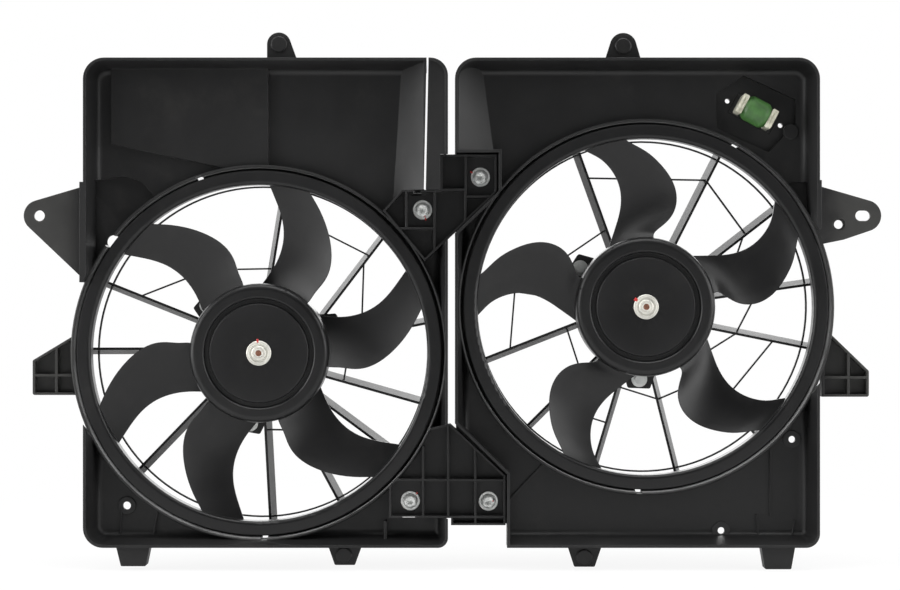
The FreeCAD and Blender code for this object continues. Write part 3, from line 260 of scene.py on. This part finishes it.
motor_paint = plain("motor_paint", (0.016, 0.016, 0.017), (0.026, 0.026, 0.027), 30.0, (0.30, 0.45),
                    500.0, 0.0001)
ferrite = plain("ferrite", (0.035, 0.035, 0.038), (0.07, 0.07, 0.072), 90.0, (0.5, 0.7), 600.0, 0.0002)
carbon = plain("carbon", (0.02, 0.02, 0.021), (0.04, 0.04, 0.041), 200.0, (0.5, 0.7), 800.0, 0.0002)
phenolic = plain("phenolic", (0.11, 0.07, 0.04), (0.17, 0.11, 0.06), 80.0, (0.45, 0.6), 400.0, 0.0002)
connector = plain("connector", (0.016, 0.016, 0.016), (0.024, 0.024, 0.024), 50.0, (0.35, 0.5),
                  700.0, 0.0001)
green_cement = plain("green_cement", (0.028, 0.092, 0.019), (0.056, 0.158, 0.037), 130.0, (0.42, 0.62),
                     420.0, 0.0006, coat=0.05)
cream_cap = plain("cream_cap", (0.42, 0.41, 0.32), (0.66, 0.65, 0.54), 160.0, (0.3, 0.5), 700.0, 0.0003)
red_paint = plain("red_paint", (0.42, 0.018, 0.02), (0.60, 0.035, 0.03), 900.0, (0.3, 0.45),
                  1200.0, 0.0002, coat=0.2)

looks = {
    "join_screws": zinc, "join_nuts": zinc, "resistor_base": connector, "resistor_core": green_cement,
    "resistor_clips": cream_cap, "resistor_terminals": clip_steel}
looks_on_each_side = {
    "shroud": shroud_black, "fan": fan_black, "shaft": shaft_steel, "fan_clip": clip_steel,
    "motor_screws": zinc, "motor_housing": motor_paint, "motor_end_cap": motor_paint,
    "front_bearing": bearing_steel, "rear_bearing": bearing_steel, "armature_core": lamination,
    "windings": copper, "commutator": copper, "magnets": ferrite, "brushes": carbon,
    "brush_holder": phenolic}
for side in ("left_", "right_"):
    looks.update({side + node: mat for node, mat in looks_on_each_side.items()})
for node, mat in looks.items():
    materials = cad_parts[node].data.materials
    materials.clear()
    materials.append(mat)


# ------------------------------------------------------------------ shaping of small details
# Places are (x, z) and depths are behind the object's foremost face, both in mm.
crease = 28.0                                   # degrees: a sharper edge isn't shaded smooth
bar_softness = 0.25                             # share of a bar's lesser side that rounds its front edges
hexagon, star, circle = "hexagon", "star", "circle"


def point(x, z, depth):
    """A place and a depth as a point of the frame, in metres."""
    return (x / MM, front_y + depth / MM, z / MM)


def place_of(node):
    """The place of a CAD node's middle."""
    low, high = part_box(node)
    return ((low.x + high.x) / 2 * MM, (low.z + high.z) / 2 * MM)


def depths_of(node):
    """The depths of a CAD node's front and rear."""
    return [(corner.y - front_y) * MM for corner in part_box(node)]


def on_circle(centre, radius, degrees):
    """A place on a circle, from its centre, its radius and a direction."""
    angle = math.radians(degrees)
    return (centre[0] + radius * math.cos(angle), centre[1] + radius * math.sin(angle))


def outline(shape, angle):
    """Share of the stated radius that a section's outline reaches in one direction."""
    if shape == hexagon:
        return math.cos(math.pi / 6) / math.cos((angle % (math.pi / 3)) - math.pi / 6)
    if shape == star:
        return 0.86 + 0.14 * math.cos(6 * angle)
    return 1.0


def skin(builder, loops, hollow=False):
    """Joins stacked loops of points with faces.

    A hollow one joins its last loop to its first; any other is closed by a face at each end.
    """
    count = len(loops[0])
    for a, b in zip(loops, loops[1:] + (loops[:1] if hollow else [])):
        for k in range(count):
            builder.faces.new((a[k], a[(k + 1) % count], b[(k + 1) % count], b[k]))
    if not hollow:
        builder.faces.new(loops[0])
        builder.faces.new(list(reversed(loops[-1])))


def lofted(builder, centre, rings, turn=0.0, count=60, hollow=False):
    """Adds a form about a centre, from sections of (radius, depth, shape), turned by an angle."""
    loops = []
    for radius, depth, shape in rings:
        loop = []
        for k in range(count):
            angle = 2 * math.pi * k / count
            out = radius * outline(shape, angle)
            loop.append(builder.verts.new(point(centre[0] + out * math.cos(angle + turn),
                                                centre[1] + out * math.sin(angle + turn), depth)))
        loops.append(loop)
    skin(builder, loops, hollow)


def bar(builder, start, end, width, front, rear):
    """Adds a straight bar between two places, with slightly rounded front edges."""
    length = math.hypot(end[0] - start[0], end[1] - start[1])
    along = ((end[0] - start[0]) / length, (end[1] - start[1]) / length)
    across = (-along[1], along[0])
    soft = min(width, rear - front) * bar_softness
    loops = []
    for depth, grow in ((rear, 0.0), (front + soft, 0.0), (front, -soft)):
        corners = []
        for u, v in ((0, -1), (1, -1), (1, 1), (0, 1)):
            du = length * u + (grow if u else -grow)
            dv = (width / 2 + grow) * v
            corners.append(builder.verts.new(point(start[0] + along[0] * du + across[0] * dv,
                                                   start[1] + along[1] * du + across[1] * dv, depth)))
        loops.append(corners)
    skin(builder, loops)


def add_object(name, data):
    """A new object in the scene, from its mesh, lamp or camera."""
    o = bpy.data.objects.new(name, data)
    bpy.context.scene.collection.objects.link(o)
    return o


def piece(name, builder, mat, body):
    """Makes the built mesh a visible piece that moves with a body."""
    bmesh.ops.recalc_face_normals(builder, faces=builder.faces)
    mesh = bpy.data.meshes.new(name)
    builder.to_mesh(mesh)
    builder.free()
    for polygon in mesh.polygons:
        polygon.use_smooth = True
    mesh.set_sharp_from_angle(angle=math.radians(crease))
    mesh.materials.append(mat)
    o = add_object(name, mesh)
    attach(o, body)
    return o


# ------------------------------------------------------------------ joint screws
# Each has a flat washer, a pressed flange, a chamfered hexagon and a six-lobed recess.
join_places = [(-27.0, 323.6), (25.3, 353.2), (-38.1, 60.6), (32.5, 60.2)]
join_turns = (12, 37, 52, 21)                   # degrees that each hexagon was left at
head_front, shank_rear = depths_of("join_screws")
washer_front, seat_plane = head_front + 4.6, head_front + 6.0
shank, washer, flange, head, recess = 3.0, 8.8, 6.7, 5.2, 3.0       # radii
screw_rings = [
    (shank - 0.7, shank_rear, circle), (shank, shank_rear - 0.7, circle), (shank, seat_plane, circle),
    (washer, seat_plane, circle), (washer, washer_front + 0.35, circle),
    (washer - 0.35, washer_front, circle),
    (flange, washer_front, circle), (flange - 0.1, washer_front - 0.9, circle),
    (flange - 0.6, washer_front - 1.3, circle), (head + 0.1, washer_front - 1.5, circle),
    (head, washer_front - 1.7, hexagon), (head, head_front + 0.8, hexagon),
    (head - 0.6, head_front + 0.1, circle), (recess + 0.9, head_front, circle),
    (recess + 0.6, head_front + 0.4, circle), (recess, head_front + 0.6, star),
    (recess - 0.4, head_front + 2.6, star), (0.3, head_front + 3.0, star)]
builder = bmesh.new()
for place, turn in zip(join_places, join_turns):
    lofted(builder, place, screw_rings, math.radians(turn))
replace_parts(piece("join_screws_detailed", builder, zinc, "shroud"), "join_screws")

# The inspector's paint: ticks across the washers, flanges and heads.
tick_width, tick_thickness = 1.3, 1.5
on_washer, on_flange, on_head = washer_front - 0.12, washer_front - 1.8, head_front - 0.15
ticks = [                                       # (screw, direction in degrees, radii, depth of its front)
    (0, -72, 7.0, 10.2, on_washer), (0, -70, 5.3, 6.6, on_flange), (1, 152, 7.6, 10.4, on_washer),
    (2, 48, 7.4, 10.0, on_washer), (3, 8, 3.5, 4.8, on_head)]
for number, (screw, degrees, inner, outer, front) in enumerate(ticks, start=1):
    place = join_places[screw]
    builder = bmesh.new()
    bar(builder, on_circle(place, inner, degrees), on_circle(place, outer, degrees), tick_width,
        front, front + tick_thickness)
    piece("paint_tick_%d" % number, builder, red_paint, "shroud")


# ------------------------------------------------------------------ fan clips and shaft ends
collar_front, clip_rear = depths_of("left_fan_clip")
clip_radius, clip_bore = 11.2, 4.1
rim_front, rim_roll = collar_front + 0.75, 0.35
channel_outer, channel_inner, channel_floor = 8.3, 6.7, collar_front + 2.0
clip_section = [
    (clip_radius, clip_rear), (clip_radius, rim_front + rim_roll), (clip_radius - 0.4, rim_front),
    (channel_outer + 0.7, rim_front), (channel_outer + 0.2, rim_front + rim_roll),
    (channel_outer, channel_floor), (channel_inner, channel_floor),
    (channel_inner - 0.3, collar_front + 0.5), (channel_inner - 0.8, collar_front + 0.1),
    (clip_bore + 0.4, collar_front), (clip_bore, collar_front + 0.2), (clip_bore, clip_rear)]
shaft_front = depths_of("left_shaft")[0]
shaft_radius, ring_bore, ring_rear = 4.0, 2.7, shaft_front + 1.6
ring_section = [
    (shaft_radius, ring_rear), (shaft_radius, shaft_front + 0.2),
    (shaft_radius - 0.2, shaft_front - 0.05), (ring_bore + 0.2, shaft_front - 0.1),
    (ring_bore, shaft_front + 0.1), (ring_bore, ring_rear)]
fan_centres = {side: place_of(side + "_shaft") for side in ("left", "right")}


def pressed_ring(name, side, section, count):
    """A ring of spring steel about a fan's centre, from its section of (radius, depth)."""
    builder = bmesh.new()
    rings = [(radius, depth, circle) for radius, depth in section]
    lofted(builder, fan_centres[side], rings, count=count, hollow=True)
    return piece(name, builder, clip_steel, side + "_rotor")


for side in fan_centres:
    clip = pressed_ring(side + "_fan_clip_detailed", side, clip_section, 72)
    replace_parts(clip, side + "_fan_clip")
    pressed_ring(side + "_shaft_end_ring", side, ring_section, 48)

# A spot of paint across each clip's rim.
spot_inner, spot_outer = 9.4, 12.8              # radii
spot_front, spot_rear = rim_front - rim_roll, clip_rear + 0.05
for side, degrees, width in (("left", 95, 1.7), ("right", 145, 3.0)):
    builder = bmesh.new()
    bar(builder, on_circle(fan_centres[side], spot_inner, degrees),
        on_circle(fan_centres[side], spot_outer, degrees), width, spot_front, spot_rear)
    piece(side + "_clip_paint", builder, red_paint, side + "_rotor")


# ------------------------------------------------------------------ ridges on the resistor's end caps
resistor_place = place_of("resistor_clips")
resistor_tilt = math.radians(-28.0)
cap_front = depths_of("resistor_clips")[0]
ridge_root = 1.0                                # how far a ridge runs into its cap
ridges = [                                      # (distance out, from, to, width, how far it stands proud)
    (16.4, -8.4, 8.4, 2.0, 1.2), (13.4, -4.2, 0.4, 1.8, 1.0), (13.4, 1.6, 4.6, 1.8, 1.0)]


def on_resistor(u, v):
    """A place on the tilted resistor, from u along it and v across it."""
    return (resistor_place[0] + u * math.cos(resistor_tilt) - v * math.sin(resistor_tilt),
            resistor_place[1] + u * math.sin(resistor_tilt) + v * math.cos(resistor_tilt))


for number, end in enumerate((-1, 1), start=1):
    builder = bmesh.new()
    for out, start, stop, width, proud in ridges:
        bar(builder, on_resistor(end * out, start), on_resistor(end * out, stop), width,
            cap_front - proud, cap_front + ridge_root)
    piece("resistor_cap_ridges_%d" % number, builder, cream_cap, "shroud")


# ------------------------------------------------------------------ camera
distance = 1.9                                  # metres, from the object's foremost face
view_width = 0.805946                           # metres that the picture spans on that face
aim = Vector((-0.0022, front_y, 0.2466))
camera = add_object("camera", bpy.data.cameras.new("camera"))
camera.data.sensor_width = 36.0
camera.data.lens = distance * camera.data.sensor_width / view_width
camera.location = (aim.x, aim.y - distance, aim.z)
camera.rotation_euler = (math.radians(90), 0, 0)
bpy.context.scene.camera = camera


# ------------------------------------------------------------------ light
def lamp(name, place, size, power):
    """An area lamp that faces the object's middle, with its size in metres and its power in watts."""
    data = bpy.data.lights.new(name, "AREA")
    data.shape = "RECTANGLE"
    data.size, data.size_y = size
    data.energy = power
    o = add_object(name, data)
    o.location = place
    o.rotation_euler = (cad_middle - Vector(place)).to_track_quat("-Z", "Y").to_euler()


lamp("left_softbox", (-2.1, -0.9, 0.8), (1.0, 1.8), 27)
lamp("right_softbox", (2.1, -1.1, 0.8), (1.0, 1.8), 23)
lamp("top_softbox", (0.0, -0.7, 2.3), (2.4, 1.0), 26)
lamp("back_softbox", (0.0, 2.2, 1.2), (2.6, 1.6), 26)
lamp("left_strip", (-2.2, -0.15, 0.5), (0.5, 2.0), 24)
lamp("right_strip", (2.2, -0.15, 0.5), (0.5, 2.0), 18)
lamp("top_strip", (0.0, -0.15, 2.4), (2.0, 0.5), 18)

# The world is white to the camera and a low even light on the object. Glossy surfaces reflect
# a bright wall instead, given as (share of the way from front to rear, brightness).
even_light, wall_light, seen_light = 0.34, 2.6, 1.0
wall = [(0.0, 0.042), (0.38, 0.042), (0.60, 0.42), (0.72, 1.0), (0.95, 1.0), (0.99, 0.40)]
world = bpy.data.worlds.new("studio")
bpy.context.scene.world = world
world.use_nodes = True
tree = world.node_tree
background = tree.nodes["Background"]
background.inputs["Color"].default_value = (1, 1, 1, 1)
ray = tree.nodes.new("ShaderNodeLightPath").outputs
split = tree.nodes.new("ShaderNodeSeparateXYZ")
tree.links.new(tree.nodes.new("ShaderNodeTexCoord").outputs["Generated"], split.inputs[0])
rearward = plus(tree, times(tree, split.outputs["Y"], 0.5), 0.5)
reflected = times(tree, ramp(tree, rearward, wall), wall_light)
lit = choose(tree, ray["Is Glossy Ray"], even_light, reflected)
tree.links.new(choose(tree, ray["Is Camera Ray"], lit, seen_light), background.inputs["Strength"])


# ------------------------------------------------------------------ floor
floor_half = 6.0
floor_gap = 0.0005                              # below the object, so that no faces coincide
fade_start, fade_end = 0.38, 0.80               # metres: the floor turns plain white between these
near_share = 0.88                               # and is this white to the camera near the object
level = cad_low.z - floor_gap
floor_mesh = bpy.data.meshes.new("floor")
corners = [(x * floor_half, y * floor_half, level) for x, y in ((-1, -1), (1, -1), (1, 1), (-1, 1))]
floor_mesh.from_pydata(corners, [], [(0, 1, 2, 3)])
floor = add_object("floor", floor_mesh)

white, tree, shader, coords = material("white_floor")
shader.inputs["Base Color"].default_value = (0.82, 0.82, 0.82, 1)
shader.inputs["Roughness"].default_value = 0.9
shader.inputs["Specular IOR Level"].default_value = 0.1
glow = tree.nodes.new("ShaderNodeEmission")
glow.inputs["Strength"].default_value = seen_light
away = tree.nodes.new("ShaderNodeVectorMath")
away.operation = "LENGTH"
tree.links.new(coords, away.inputs[0])
fade = ramp(tree, away.outputs["Value"], [(fade_start, near_share), (fade_end, 1.0)])
ray = tree.nodes.new("ShaderNodeLightPath").outputs
mix = tree.nodes.new("ShaderNodeMixShader")
tree.links.new(times(tree, ray["Is Camera Ray"], fade), mix.inputs[0])
tree.links.new(shader.outputs[0], mix.inputs[1])
tree.links.new(glow.outputs[0], mix.inputs[2])
tree.links.new(mix.outputs[0], tree.nodes["Material Output"].inputs["Surface"])
floor_mesh.materials.append(white)

bpy.context.scene.view_settings.view_transform = "Standard"
